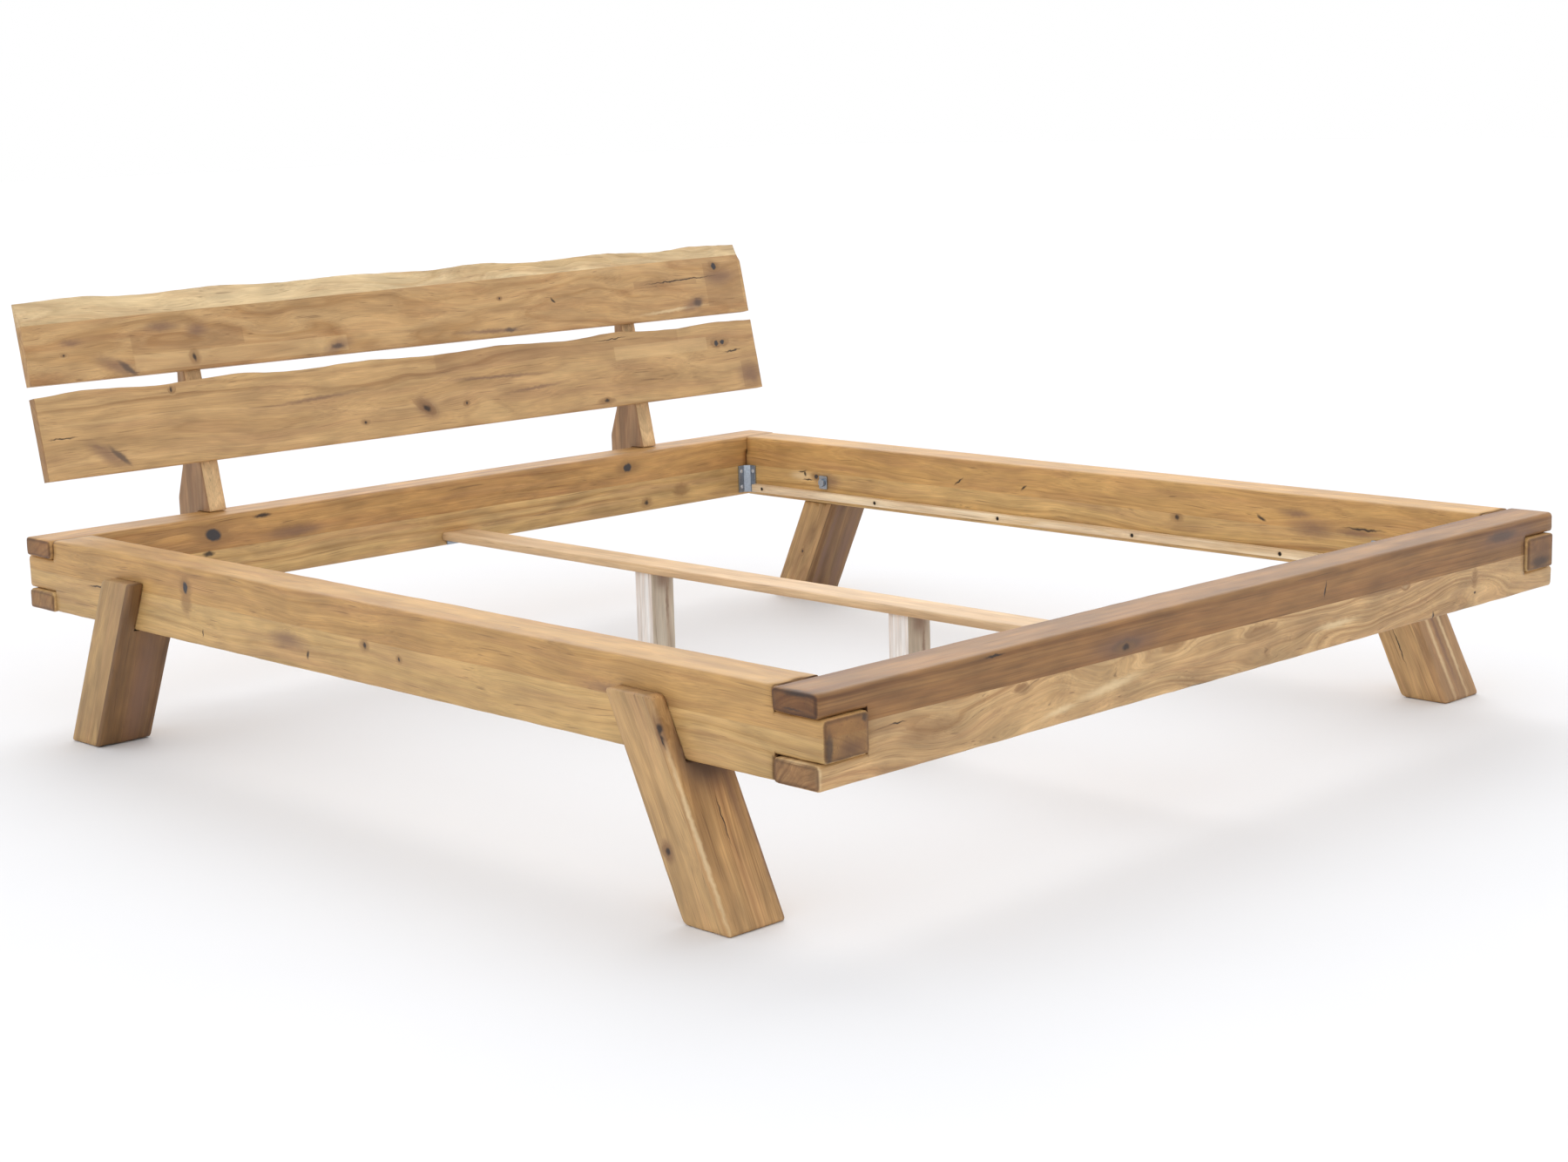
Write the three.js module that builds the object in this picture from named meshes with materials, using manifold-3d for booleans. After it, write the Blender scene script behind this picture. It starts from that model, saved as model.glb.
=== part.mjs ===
// An oiled wild-oak beam bed frame for a mattress of 1800 x 2000 mm.
// Four beams meet in finger joints at the corners. They stand on four splayed legs, carry two ledges and
// a centre rail for a slatted base, and hold a headboard of two leaning planks on two notched posts.
// Millimetres. +X runs across the bed, +Y from the foot to the head and +Z up, with the floor at zero.
import * as THREE from 'three';
import { mergeVertices } from 'three/addons/utils/BufferGeometryUtils.js';
import Module from 'manifold-3d';

const wasm = await Module();
wasm.setup();

// Frame of four beams
const FRAME_WIDTH = 1990; // over the outer faces of the side rails
const FRAME_LENGTH = 2240; // over the outer faces of the head rail and the foot rail
const RAIL_THICKNESS = 95;
const RAIL_HEIGHT = 144;
const RAIL_BOTTOM = 244;
const LOWER_FINGER = 40;
const MIDDLE_FINGER = 66;
const FINGER_PROUD = 6; // how far a finger's end stands out of the face it comes through
const BEAM_ROUND = 8;
const FINGER_CHAMFER = 5;

// Fits between pieces
const GAP = 0.3; // left between any two pieces that touch
const OVERREACH = 5; // how far a cutting tool reaches past the face it cuts
const TIP_CLEARANCE = 3; // left in a bore beyond the tip of its screw
const EDGE_EASE = 1; // rounding of an end that is hidden against another piece

// Legs
const LEG_LEAN = THREE.MathUtils.degToRad(25.5);
const LEG_STOCK = 95; // thickness of the leg's beam across its own length
const LEG_PROUD = 30; // thickness of the tongue that laps the side rail's outer face
const LEG_SHOULDER = 86; // how far the leg reaches in under the side rail
const LEG_FOOT_Y = 900; // middle of the foot on the floor, either way from the frame's centre
const LEG_TOP = 342;
const LEG_ROUND = 9;
const LEG_SIDE_ROUND = 3;
const LEG_BOLT = { z: 296, radius: 5, headRadius: 9.8, headHeight: 6.4, tipInset: 10 };
const LEG_BOLT_OUTWARD = { foot: 34, head: 0 }; // from the leg's middle line, towards its end of the bed
const WASHER = { width: 26, height: 32, thickness: 3, round: 3, edge: 0.5 };

// Headboard: two planks on two posts, shifted a little to the right of the frame's centre line
const HEADBOARD_SHIFT = 24;
const HEADBOARD_LEAN = THREE.MathUtils.degToRad(12.5);
const HEADBOARD_FOOT_Y = 1051; // where the planks' front plane meets the level of the rail's top
const PLANK_LENGTH = 1972;
const PLANK_WIDTH = 175;
const PLANK_THICKNESS = 24;
const PLANK_EDGE = 2;
const PLANK_STARTS = { lower: 112, upper: 305 }; // along the lean, above the rail's top
const EDGE_WAVE = { height: 3, pitch: 350, shift: -140, steps: 56 }; // hewn waves of the top edges
const UPPER_BEVEL = { width: 50, lip: 5, above: 4 }; // the wide bevel along the upper plank's front
const PLANK_SCREW = {
  radius: 2,
  headRadius: 4,
  headHeight: 3,
  seatRadius: 5,
  tip: 8, // depth of the tip behind the planks' front
  wood: { lower: 30, upper: 16 }, // wood of the post under the screw's head
  along: { lower: [35, 135], upper: [35, 90] }, // above each plank's lower edge
  stagger: 8,
  driverReach: 90, // length of the open bore behind the head
};
const POST_SPACING = 1208;
const POST_WIDTH = 44;
const POST_TOP = 800;
const POST_TIP = 26; // depth of the post where it backs the upper plank
const POST_BACK = 1193;
const POST_HEEL = 24; // how far the straight back of the post goes on above the rail's top
const POST_WAIST = { back: 1166, from: 480, to: 690, flare: 3 }; // the straight stretch of its back
const POST_ROUND = 5;
const POST_EDGE = 2;
const POST_BOLT = {
  heights: [285, 350],
  radius: 4,
  headRadius: 7.5,
  headHeight: 6,
  seatRadius: 9,
  sink: 7, // depth of the round seat that the bolt's head sits in
  intoRail: 58,
};

// Base supports
const LEDGE = { thickness: 20, bottom: 256, height: 18, halfLength: 990, round: 2 };
const LEDGE_SCREW = {
  steps: [-2.5, -1.5, -0.5, 0.5, 1.5, 2.5],
  pitch: 382,
  radius: 2,
  headRadius: 4,
  headInset: 1.2, // how deep the head's face lies below the ledge's
  headHeight: 2.4,
  sinkRadius: 4.5,
  sinkDepth: 4,
  intoRail: 24,
};
const CENTRE_RAIL = { width: 82, bottom: 257, height: 18, round: 6 };
const CENTRE_FOOT = { side: 57, y: 360, round: 3, edge: 2 };
const DOWEL_SCREW = { radius: 4, intoFoot: 36, intoRail: 11 };
const BRACKET = { leaf: 31, sheet: 3, height: 66, bottom: 252, fold: 13 };
const BRACKET_HOLE = { radius: 2.6, inset: 22, rise: 14, reach: 8 };
const HANGER = { width: 60, reach: 36, sheet: 2.5, drop: 10.5 };
const SHEET_ROUND = 0.5;

const halfWidth = FRAME_WIDTH / 2;
const halfLength = FRAME_LENGTH / 2;
const innerX = halfWidth - RAIL_THICKNESS;
const innerY = halfLength - RAIL_THICKNESS;
const railTop = RAIL_BOTTOM + RAIL_HEIGHT;
const middleBottom = RAIL_BOTTOM + LOWER_FINGER;
const middleTop = middleBottom + MIDDLE_FINGER;
const endX = halfWidth + FINGER_PROUD;
const endY = halfLength + FINGER_PROUD;
const ledgeFront = innerX - LEDGE.thickness;
const ledgeScrewZ = LEDGE.bottom + LEDGE.height / 2;
const ledgeScrewPlaces = LEDGE_SCREW.steps.map((step) => step * LEDGE_SCREW.pitch);
const postCentres = {
  left: HEADBOARD_SHIFT - POST_SPACING / 2,
  right: HEADBOARD_SHIFT + POST_SPACING / 2,
};

const OAK = { color: 0xc39a63, roughness: 0.55, metalness: 0 };
const PALE_OAK = { color: 0xd9c9b4, roughness: 0.7, metalness: 0 };
const ZINC = { color: 0x9aa3ad, roughness: 0.4, metalness: 1 };

// The inner group is moved back so that the origin lies below the middle of the whole object.
const bed = new THREE.Group();
const frame = new THREE.Group();
frame.position.y = -(POST_BACK - endY) / 2;
bed.add(frame);

// ---------------------------------------------------------------- shape tools

// For each extrusion axis, the two axes that an outline's coordinates lie along, in turning order.
const AXES = {
  x: [new THREE.Vector3(0, 1, 0), new THREE.Vector3(0, 0, 1), new THREE.Vector3(1, 0, 0)],
  y: [new THREE.Vector3(0, 0, 1), new THREE.Vector3(1, 0, 0), new THREE.Vector3(0, 1, 0)],
  z: [new THREE.Vector3(1, 0, 0), new THREE.Vector3(0, 1, 0), new THREE.Vector3(0, 0, 1)],
};

// A span given on the positive side of the frame's middle, in rising order on the side asked for.
function span(sign, low, high) {
  return sign > 0 ? [low, high] : [-high, -low];
}

function rectangle(lowA, lowB, highA, highB) {
  return [[lowA, lowB], [highA, lowB], [highA, highB], [lowA, highB]];
}

// A closed outline through the corners, each rounded off by cutting back the same length on both sides.
function roundedOutline(corners, round) {
  const shape = new THREE.Shape();
  const points = corners.map(([a, b]) => new THREE.Vector2(a, b));
  points.forEach((corner, i) => {
    const before = points.at(i - 1);
    const after = points[(i + 1) % points.length];
    const start = corner.clone().add(before.clone().sub(corner).setLength(round));
    const end = corner.clone().add(after.clone().sub(corner).setLength(round));
    if (i === 0) shape.moveTo(start.x, start.y);
    else shape.lineTo(start.x, start.y);
    shape.quadraticCurveTo(corner.x, corner.y, end.x, end.y);
  });
  shape.closePath();
  return shape;
}

// The shape extruded along an axis between two stations, its end edges rounded over by the bevel.
function prism(shape, axis, from, to, bevel = 0) {
  const geometry = new THREE.ExtrudeGeometry(shape, {
    depth: to - from - 2 * bevel,
    curveSegments: 3,
    bevelEnabled: bevel > 0,
    bevelThickness: bevel,
    bevelSize: bevel,
    bevelOffset: -bevel,
    bevelSegments: 2,
  });
  geometry.translate(0, 0, from + bevel);
  geometry.applyMatrix4(new THREE.Matrix4().makeBasis(...AXES[axis]));
  return geometry;
}

// A cylinder along an axis between two stations, its other coordinates taken from the centre.
function cylinderAlong(axis, radius, from, to, centre, sides = 16) {
  const geometry = new THREE.CylinderGeometry(radius, radius, to - from, sides);
  if (axis === 'x') geometry.rotateZ(-Math.PI / 2);
  if (axis === 'z') geometry.rotateX(Math.PI / 2);
  const middle = new THREE.Vector3(...centre);
  middle[axis] = (from + to) / 2;
  geometry.translate(middle.x, middle.y, middle.z);
  return geometry;
}

function solidOf(geometry) {
  const bare = geometry.clone();
  bare.deleteAttribute('normal');
  bare.deleteAttribute('uv');
  const merged = mergeVertices(bare, 1e-3);
  return new wasm.Manifold(new wasm.Mesh({
    numProp: 3,
    vertProperties: new Float32Array(merged.attributes.position.array),
    triVerts: new Uint32Array(merged.index.array),
  }));
}

function join(...geometries) {
  return geometries.map(solidOf).reduce((whole, solid) => whole.add(solid));
}

function cut(solid, ...geometries) {
  return geometries.map(solidOf).reduce((whole, tool) => whole.subtract(tool), solid);
}

function addPiece(name, solid, finish) {
  const mesh = solid.getMesh();
  const geometry = new THREE.BufferGeometry();
  geometry.setAttribute('position', new THREE.BufferAttribute(mesh.vertProperties, 3));
  geometry.setIndex(new THREE.BufferAttribute(mesh.triVerts, 1));
  geometry.computeVertexNormals();
  const piece = new THREE.Mesh(geometry, new THREE.MeshStandardMaterial(finish));
  piece.name = name;
  frame.add(piece);
}

// ---------------------------------------------------------------- places that several pieces share

// Every leg: the side it stands on, the end it stands at, and the place of its bolt.
const legs = [];
for (const [side, sideSign] of [['left', -1], ['right', 1]]) {
  for (const [end, endSign] of [['foot', -1], ['head', 1]]) {
    const boltY = endSign * (LEG_FOOT_Y - Math.tan(LEG_LEAN) * LEG_BOLT.z + LEG_BOLT_OUTWARD[end]);
    legs.push({ name: `${end}_${side}`, sideSign, endSign, boltY });
  }
}

// The headboard's own frame: x across, y up along the lean, z out of the planks' front.
const headboardFrame = new THREE.Matrix4()
  .makeRotationX(Math.PI / 2 - HEADBOARD_LEAN)
  .setPosition(0, HEADBOARD_FOOT_Y, railTop);

// Where a plane a given depth behind the planks' front stands at height z.
function headboardY(depth, z) {
  return HEADBOARD_FOOT_Y + Math.tan(HEADBOARD_LEAN) * (z - railTop) + depth / Math.cos(HEADBOARD_LEAN);
}

// Every screw that holds a plank, driven square to it from the back of a post.
const plankScrews = [];
for (const side of ['left', 'right']) {
  for (const place of ['lower', 'upper']) {
    PLANK_SCREW.along[place].forEach((along, row) => {
      plankScrews.push({
        name: `plank_screw_${place}_${side}_${row + 1}`,
        side,
        place,
        x: postCentres[side] + (row === 0 ? 1 : -1) * PLANK_SCREW.stagger,
        up: PLANK_STARTS[place] + along,
        headDepth: PLANK_THICKNESS + PLANK_SCREW.wood[place],
      });
    });
  }
}

// A cylinder on a plank screw's line, between two depths behind the planks' front.
function cylinderOnScrew({ x, up }, radius, from, to, sides) {
  const geometry = new THREE.CylinderGeometry(radius, radius, to - from, sides);
  geometry.rotateX(Math.PI / 2);
  geometry.translate(x, up, -(from + to) / 2);
  geometry.applyMatrix4(headboardFrame);
  return geometry;
}

// ---------------------------------------------------------------- beams

// A side rail: one long beam whose middle finger runs on through both corners.
function makeSideRail(name, sign) {
  const [low, high] = span(sign, innerX, halfWidth);
  const section = roundedOutline(rectangle(RAIL_BOTTOM, low, railTop, high), BEAM_ROUND);
  const finger = roundedOutline(rectangle(middleBottom + GAP, low, middleTop - GAP, high), BEAM_ROUND);
  const boltBores = legs.filter((leg) => leg.sideSign === sign).map((leg) => {
    const place = [0, leg.boltY, LEG_BOLT.z];
    return cylinderAlong('x', LEG_BOLT.radius + GAP, low - OVERREACH, high + OVERREACH, place);
  });
  const screwReach = innerX + LEDGE_SCREW.intoRail + TIP_CLEARANCE;
  const screwBores = ledgeScrewPlaces.map((y) => {
    const reach = span(sign, innerX - OVERREACH, screwReach);
    return cylinderAlong('x', LEDGE_SCREW.radius + GAP, ...reach, [0, y, ledgeScrewZ], 8);
  });
  const beam = join(
    prism(section, 'y', -innerY + GAP, innerY - GAP, EDGE_EASE),
    prism(finger, 'y', -endY, endY, FINGER_CHAMFER),
  );
  addPiece(name, cut(beam, ...boltBores, ...screwBores), OAK);
}

function postBoltBore(x, z, from, to) {
  return cylinderAlong('y', POST_BOLT.radius + GAP, from, to, [x, 0, z]);
}

// The head rail or the foot rail: an upper and a lower finger clasp the side rails' middle fingers.
function makeCrossRail(name, sign) {
  const [low, high] = span(sign, innerY, halfLength);
  const section = roundedOutline(rectangle(low, RAIL_BOTTOM, high, railTop), BEAM_ROUND);
  const upper = roundedOutline(rectangle(low, middleTop, high, railTop), BEAM_ROUND);
  const lower = roundedOutline(rectangle(low, RAIL_BOTTOM, high, middleBottom), BEAM_ROUND);
  const postXs = sign > 0 ? Object.values(postCentres) : [];
  const deepest = halfLength - POST_BOLT.intoRail - TIP_CLEARANCE;
  const bores = postXs.flatMap((x) => POST_BOLT.heights.map(
    (z) => postBoltBore(x, z, deepest, halfLength + OVERREACH),
  ));
  const beam = join(
    prism(section, 'x', -innerX + GAP, innerX - GAP, EDGE_EASE),
    prism(upper, 'x', -endX, endX, FINGER_CHAMFER),
    prism(lower, 'x', -endX, endX, FINGER_CHAMFER),
  );
  addPiece(name, cut(beam, ...bores), OAK);
}

// ---------------------------------------------------------------- legs and their bolts

// A leaning leg, notched so that a tongue laps the rail's outer face and a shoulder stands below it.
function makeLeg({ name, sideSign, endSign, boltY }) {
  const halfCut = LEG_STOCK / Math.cos(LEG_LEAN) / 2;
  const lean = -endSign * Math.tan(LEG_LEAN) * LEG_TOP;
  const foot = endSign * LEG_FOOT_Y;
  const outline = roundedOutline([
    [foot - halfCut, 0],
    [foot + halfCut, 0],
    [foot + halfCut + lean, LEG_TOP],
    [foot - halfCut + lean, LEG_TOP],
  ], LEG_ROUND);
  const notchSpan = span(sideSign, halfWidth - LEG_SHOULDER - OVERREACH, halfWidth + GAP);
  const notchLength = halfCut * 4 + LEG_TOP;
  const notch = new THREE.BoxGeometry(notchSpan[1] - notchSpan[0], notchLength, RAIL_HEIGHT);
  notch.translate((notchSpan[0] + notchSpan[1]) / 2, boltY, RAIL_BOTTOM - GAP + RAIL_HEIGHT / 2);
  const boreEnd = halfWidth + LEG_PROUD - LEG_BOLT.tipInset + TIP_CLEARANCE;
  const bore = span(sideSign, innerX, boreEnd);
  const sides = span(sideSign, halfWidth - LEG_SHOULDER, halfWidth + LEG_PROUD);
  const leg = cut(
    solidOf(prism(outline, 'x', ...sides, LEG_SIDE_ROUND)),
    notch,
    cylinderAlong('x', LEG_BOLT.radius + GAP, ...bore, [0, boltY, LEG_BOLT.z]),
  );
  addPiece(`leg_${name}`, leg, OAK);
}

// A hexagon bolt from inside the frame, through a square washer and the rail into the leg's tongue.
function makeLegBolt({ name, sideSign, boltY }) {
  const place = [0, boltY, LEG_BOLT.z];
  const washerFace = innerX - GAP - WASHER.thickness;
  const outline = roundedOutline(rectangle(
    boltY - WASHER.width / 2,
    LEG_BOLT.z - WASHER.height / 2,
    boltY + WASHER.width / 2,
    LEG_BOLT.z + WASHER.height / 2,
  ), WASHER.round);
  const plate = solidOf(prism(outline, 'x', ...span(sideSign, washerFace, innerX - GAP), WASHER.edge));
  const bore = span(sideSign, washerFace - OVERREACH, innerX + OVERREACH);
  const washer = cut(plate, cylinderAlong('x', LEG_BOLT.radius + GAP, ...bore, place));
  addPiece(`leg_bolt_washer_${name}`, washer, ZINC);

  const headSeat = washerFace - GAP;
  const headFace = headSeat - LEG_BOLT.headHeight;
  const tip = halfWidth + LEG_PROUD - LEG_BOLT.tipInset;
  const shaftStart = headFace + LEG_BOLT.headHeight / 2;
  const bolt = join(
    cylinderAlong('x', LEG_BOLT.headRadius, ...span(sideSign, headFace, headSeat), place, 6),
    cylinderAlong('x', LEG_BOLT.radius, ...span(sideSign, shaftStart, tip), place),
  );
  addPiece(`leg_bolt_${name}`, bolt, ZINC);
}

// ---------------------------------------------------------------- headboard

// A tapered post that hooks over the head rail's top and back and leans with the planks.
function makePost(side, x) {
  const front = PLANK_THICKNESS + GAP;
  const notchTop = railTop + GAP;
  const notchBack = halfLength + GAP;
  const outline = roundedOutline([
    [notchBack, RAIL_BOTTOM],
    [POST_BACK, RAIL_BOTTOM],
    [POST_BACK, railTop + POST_HEEL],
    [POST_WAIST.back + POST_WAIST.flare, POST_WAIST.from],
    [POST_WAIST.back, POST_WAIST.to],
    [headboardY(front, POST_TOP) + POST_TIP, POST_TOP],
    [headboardY(front, POST_TOP), POST_TOP],
    [headboardY(front, notchTop), notchTop],
    [notchBack, notchTop],
  ], POST_ROUND);
  const pastBack = POST_BACK + OVERREACH;
  const boltSeat = POST_BACK - POST_BOLT.sink - GAP;
  const boltBores = POST_BOLT.heights.flatMap((z) => [
    postBoltBore(x, z, halfLength - OVERREACH, pastBack),
    cylinderAlong('y', POST_BOLT.seatRadius, boltSeat, pastBack, [x, 0, z]),
  ]);
  const screwBores = plankScrews.filter((screw) => screw.side === side).flatMap((screw) => {
    const { headDepth } = screw;
    const { radius, seatRadius, driverReach } = PLANK_SCREW;
    return [
      cylinderOnScrew(screw, radius + GAP, PLANK_THICKNESS - OVERREACH, headDepth + OVERREACH, 8),
      cylinderOnScrew(screw, seatRadius, headDepth - GAP, headDepth + driverReach, 12),
    ];
  });
  const post = solidOf(prism(outline, 'x', x - POST_WIDTH / 2, x + POST_WIDTH / 2, POST_EDGE));
  addPiece(`headboard_post_${side}`, cut(post, ...boltBores, ...screwBores), OAK);
}

function makePostBolts(side, x) {
  const seat = POST_BACK - POST_BOLT.sink;
  const tip = halfLength - POST_BOLT.intoRail;
  const { headHeight } = POST_BOLT;
  POST_BOLT.heights.forEach((z, i) => {
    const place = [x, 0, z];
    const bolt = join(
      cylinderAlong('y', POST_BOLT.headRadius, seat, seat + headHeight, place, 6),
      cylinderAlong('y', POST_BOLT.radius, tip, seat + headHeight / 2, place),
    );
    addPiece(`post_bolt_${side}_${i + 1}`, bolt, ZINC);
  });
}

function edgeWave(x) {
  return EDGE_WAVE.height * Math.cos((2 * Math.PI * (x - EDGE_WAVE.shift)) / EDGE_WAVE.pitch);
}

// A plank with a straight lower edge and gentle hewn waves along its upper edge.
function makePlank(place) {
  const start = PLANK_STARTS[place];
  const left = HEADBOARD_SHIFT - PLANK_LENGTH / 2;
  const right = HEADBOARD_SHIFT + PLANK_LENGTH / 2;
  const outline = new THREE.Shape();
  outline.moveTo(left, start);
  outline.lineTo(right, start);
  for (let i = 0; i <= EDGE_WAVE.steps; i += 1) {
    const x = right - (i / EDGE_WAVE.steps) * PLANK_LENGTH;
    outline.lineTo(x, start + PLANK_WIDTH + edgeWave(x));
  }
  outline.closePath();
  const board = prism(outline, 'z', -PLANK_THICKNESS, 0, PLANK_EDGE);
  board.applyMatrix4(headboardFrame);
  const tools = plankScrews.filter((screw) => screw.place === place).map((screw) => cylinderOnScrew(
    screw,
    PLANK_SCREW.radius + GAP,
    PLANK_SCREW.tip - TIP_CLEARANCE,
    PLANK_THICKNESS + OVERREACH,
    8,
  ));
  if (place === 'upper') tools.push(upperBevelTool(start + PLANK_WIDTH));
  addPiece(`headboard_plank_${place}`, cut(solidOf(board), ...tools), OAK);
}

// The wedge that takes off the upper plank's front edge, leaving a thin lip at its back.
function upperBevelTool(top) {
  const wedge = new THREE.Shape();
  wedge.moveTo(top - UPPER_BEVEL.width, 0);
  wedge.lineTo(top + UPPER_BEVEL.above, UPPER_BEVEL.lip - PLANK_THICKNESS);
  wedge.lineTo(top + UPPER_BEVEL.above, OVERREACH);
  wedge.lineTo(top - UPPER_BEVEL.width, OVERREACH);
  wedge.closePath();
  const tool = prism(wedge, 'x', -FRAME_WIDTH, FRAME_WIDTH);
  tool.applyMatrix4(headboardFrame);
  return tool;
}

function makePlankScrew(screw) {
  const { headDepth } = screw;
  const shaftEnd = headDepth + PLANK_SCREW.headHeight / 2;
  const body = join(
    cylinderOnScrew(screw, PLANK_SCREW.radius, PLANK_SCREW.tip, shaftEnd, 8),
    cylinderOnScrew(screw, PLANK_SCREW.headRadius, headDepth, headDepth + PLANK_SCREW.headHeight, 12),
  );
  addPiece(screw.name, body, ZINC);
}

// ---------------------------------------------------------------- supports for the slatted base

// A ledge along a side rail's inner face, with a sunk hole for each of its screws.
function makeLedge(name, sign) {
  const [low, high] = span(sign, ledgeFront, innerX - GAP);
  const section = rectangle(LEDGE.bottom, low, LEDGE.bottom + LEDGE.height, high);
  const outline = roundedOutline(section, LEDGE.round);
  const holes = ledgeScrewPlaces.flatMap((y) => {
    const place = [0, y, ledgeScrewZ];
    const sink = span(sign, ledgeFront - OVERREACH, ledgeFront + LEDGE_SCREW.sinkDepth);
    return [
      cylinderAlong('x', LEDGE_SCREW.radius + GAP, low - OVERREACH, high + OVERREACH, place, 8),
      cylinderAlong('x', LEDGE_SCREW.sinkRadius, ...sink, place, 12),
    ];
  });
  const batten = prism(outline, 'y', -LEDGE.halfLength, LEDGE.halfLength, EDGE_EASE);
  addPiece(name, cut(solidOf(batten), ...holes), OAK);
}

function makeLedgeScrews(side, sign) {
  const headFace = ledgeFront + LEDGE_SCREW.headInset;
  const headBack = headFace + LEDGE_SCREW.headHeight;
  const shaftStart = headFace + LEDGE_SCREW.headHeight / 2;
  ledgeScrewPlaces.forEach((y, i) => {
    const place = [0, y, ledgeScrewZ];
    const shaft = span(sign, shaftStart, innerX + LEDGE_SCREW.intoRail);
    const screw = join(
      cylinderAlong('x', LEDGE_SCREW.headRadius, ...span(sign, headFace, headBack), place, 12),
      cylinderAlong('x', LEDGE_SCREW.radius, ...shaft, place, 8),
    );
    addPiece(`ledge_screw_${side}_${i + 1}`, screw, ZINC);
  });
}

function makeCentreRail() {
  const half = CENTRE_RAIL.width / 2;
  const { bottom, height, round } = CENTRE_RAIL;
  const outline = roundedOutline(rectangle(bottom, -half, bottom + height, half), round);
  const boreTop = bottom + DOWEL_SCREW.intoRail + TIP_CLEARANCE;
  const bores = [-CENTRE_FOOT.y, CENTRE_FOOT.y].map(
    (y) => cylinderAlong('z', DOWEL_SCREW.radius + GAP, bottom - OVERREACH, boreTop, [0, y, 0]),
  );
  const board = solidOf(prism(outline, 'y', -innerY + GAP, innerY - GAP, EDGE_EASE));
  addPiece('centre_rail', cut(board, ...bores), OAK);
}

// A square foot below the centre rail, held by a double-ended screw that is hidden in both.
function makeCentreFoot(end, y) {
  const half = CENTRE_FOOT.side / 2;
  const outline = roundedOutline(rectangle(-half, y - half, half, y + half), CENTRE_FOOT.round);
  const top = CENTRE_RAIL.bottom - GAP;
  const boreBottom = top - DOWEL_SCREW.intoFoot - TIP_CLEARANCE;
  const foot = cut(
    solidOf(prism(outline, 'z', 0, top, CENTRE_FOOT.edge)),
    cylinderAlong('z', DOWEL_SCREW.radius + GAP, boreBottom, top + OVERREACH, [0, y, 0]),
  );
  addPiece(`centre_foot_${end}`, foot, PALE_OAK);
  const screwTop = CENTRE_RAIL.bottom + DOWEL_SCREW.intoRail;
  const screw = cylinderAlong('z', DOWEL_SCREW.radius, top - DOWEL_SCREW.intoFoot, screwTop, [0, y, 0]);
  addPiece(`centre_foot_dowel_screw_${end}`, solidOf(screw), ZINC);
}

// A steel angle under each end of the centre rail, against the inner face of the head or foot rail.
function makeHanger(end, sign) {
  const top = CENTRE_RAIL.bottom - GAP;
  const wall = innerY - GAP;
  const corners = [
    [wall, top],
    [wall, top - HANGER.drop],
    [wall - HANGER.sheet, top - HANGER.drop],
    [wall - HANGER.sheet, top - HANGER.sheet],
    [wall - HANGER.reach, top - HANGER.sheet],
    [wall - HANGER.reach, top],
  ];
  const turned = corners.map(([y, z]) => [sign * y, z]);
  if (sign > 0) turned.reverse();
  const outline = roundedOutline(turned, SHEET_ROUND);
  const angle = prism(outline, 'x', -HANGER.width / 2, HANGER.width / 2);
  addPiece(`centre_rail_hanger_${end}`, solidOf(angle), ZINC);
}

// A steel corner bracket: two leaves and a folded web across the inside of a corner, with four holes.
function makeBracket(name, sideSign, endSign) {
  const { leaf, sheet, height, bottom, fold } = BRACKET;
  const inset = sheet * Math.tan(Math.PI / 8);
  const corners = [
    [leaf, 0],
    [fold, 0],
    [0, fold],
    [0, leaf],
    [sheet, leaf],
    [sheet, fold + inset],
    [fold + inset, sheet],
    [leaf, sheet],
  ];
  const placed = corners.map(([a, b]) => [
    sideSign * (innerX - GAP - a),
    endSign * (innerY - GAP - b),
  ]);
  if (sideSign * endSign > 0) placed.reverse();
  const outline = roundedOutline(placed, SHEET_ROUND);
  const x = sideSign * (innerX - BRACKET_HOLE.inset);
  const y = endSign * (innerY - BRACKET_HOLE.inset);
  const acrossX = span(sideSign, innerX - BRACKET_HOLE.reach, innerX + OVERREACH);
  const acrossY = span(endSign, innerY - BRACKET_HOLE.reach, innerY + OVERREACH);
  const heights = [bottom + BRACKET_HOLE.rise, bottom + height - BRACKET_HOLE.rise];
  const holes = heights.flatMap((z) => [
    cylinderAlong('x', BRACKET_HOLE.radius, ...acrossX, [0, y, z], 12),
    cylinderAlong('y', BRACKET_HOLE.radius, ...acrossY, [x, 0, z], 12),
  ]);
  const bracket = cut(solidOf(prism(outline, 'z', bottom, bottom + height)), ...holes);
  addPiece(`corner_bracket_${name}`, bracket, ZINC);
}

// ---------------------------------------------------------------- assembly

for (const [side, sign] of [['left', -1], ['right', 1]]) {
  makeSideRail(`side_rail_${side}`, sign);
  makeLedge(`slat_ledge_${side}`, sign);
  makeLedgeScrews(side, sign);
  makePost(side, postCentres[side]);
  makePostBolts(side, postCentres[side]);
}
for (const [end, sign] of [['foot', -1], ['head', 1]]) {
  makeCrossRail(`${end}_rail`, sign);
  makeCentreFoot(end, sign * CENTRE_FOOT.y);
  makeHanger(end, sign);
}
for (const leg of legs) {
  makeLeg(leg);
  makeLegBolt(leg);
  makeBracket(leg.name, leg.sideSign, leg.endSign);
}
for (const place of ['lower', 'upper']) makePlank(place);
for (const screw of plankScrews) makePlankScrew(screw);
makeCentreRail();

export default bed;
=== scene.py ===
import math
from dataclasses import dataclass

import bmesh
import bpy
from mathutils import Euler, Matrix, Vector, noise


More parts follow.
